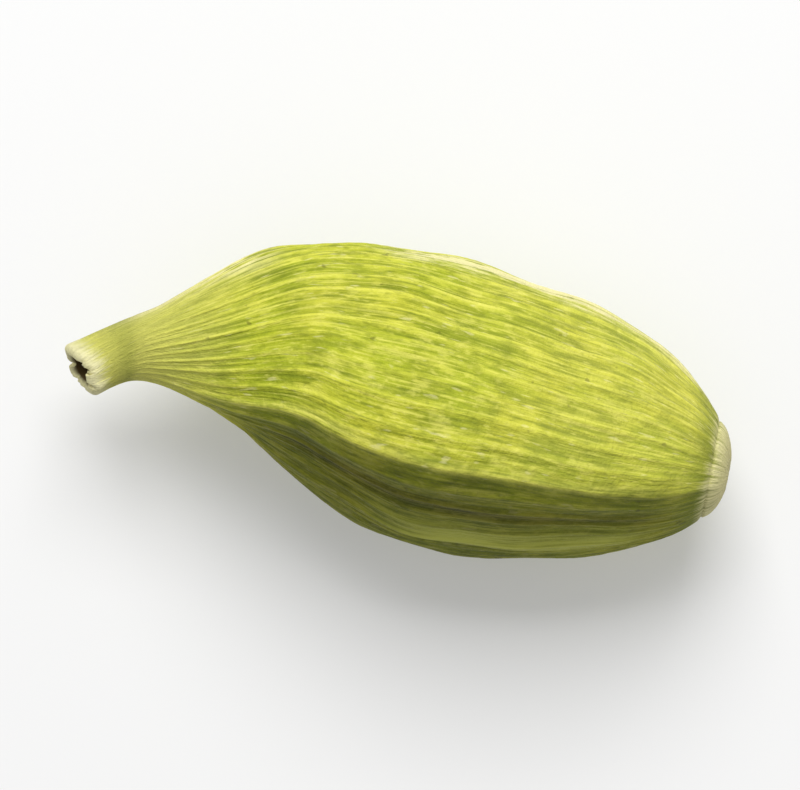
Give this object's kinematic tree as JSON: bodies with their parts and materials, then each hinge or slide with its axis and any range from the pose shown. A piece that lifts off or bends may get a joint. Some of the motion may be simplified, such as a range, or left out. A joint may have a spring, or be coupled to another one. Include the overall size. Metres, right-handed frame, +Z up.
{
  "type": "cardamom pod",
  "caption": "Dried green cardamom pod: a plump ridged husk with fine ribs that tapers to a hollow-tipped beak, used whole as a cooking spice.",
  "frame": {"origin": "middle of the pod's bounding box in plan, at the height of the flat spot that it rests on", "axes": "+X along the pod from its beak to its stalk scar, +Z up, +Y across the pod towards the outer edge of its broad upper face"},
  "size_m": [0.0192, 0.0084, 0.008],
  "materials": {
    "husk": "dry, fibrous and matt, lime green with a paler rim and scar"
  },
  "bodies": {
    "root": {"cardamom_pod": "husk"}
  },
  "joints": []
}
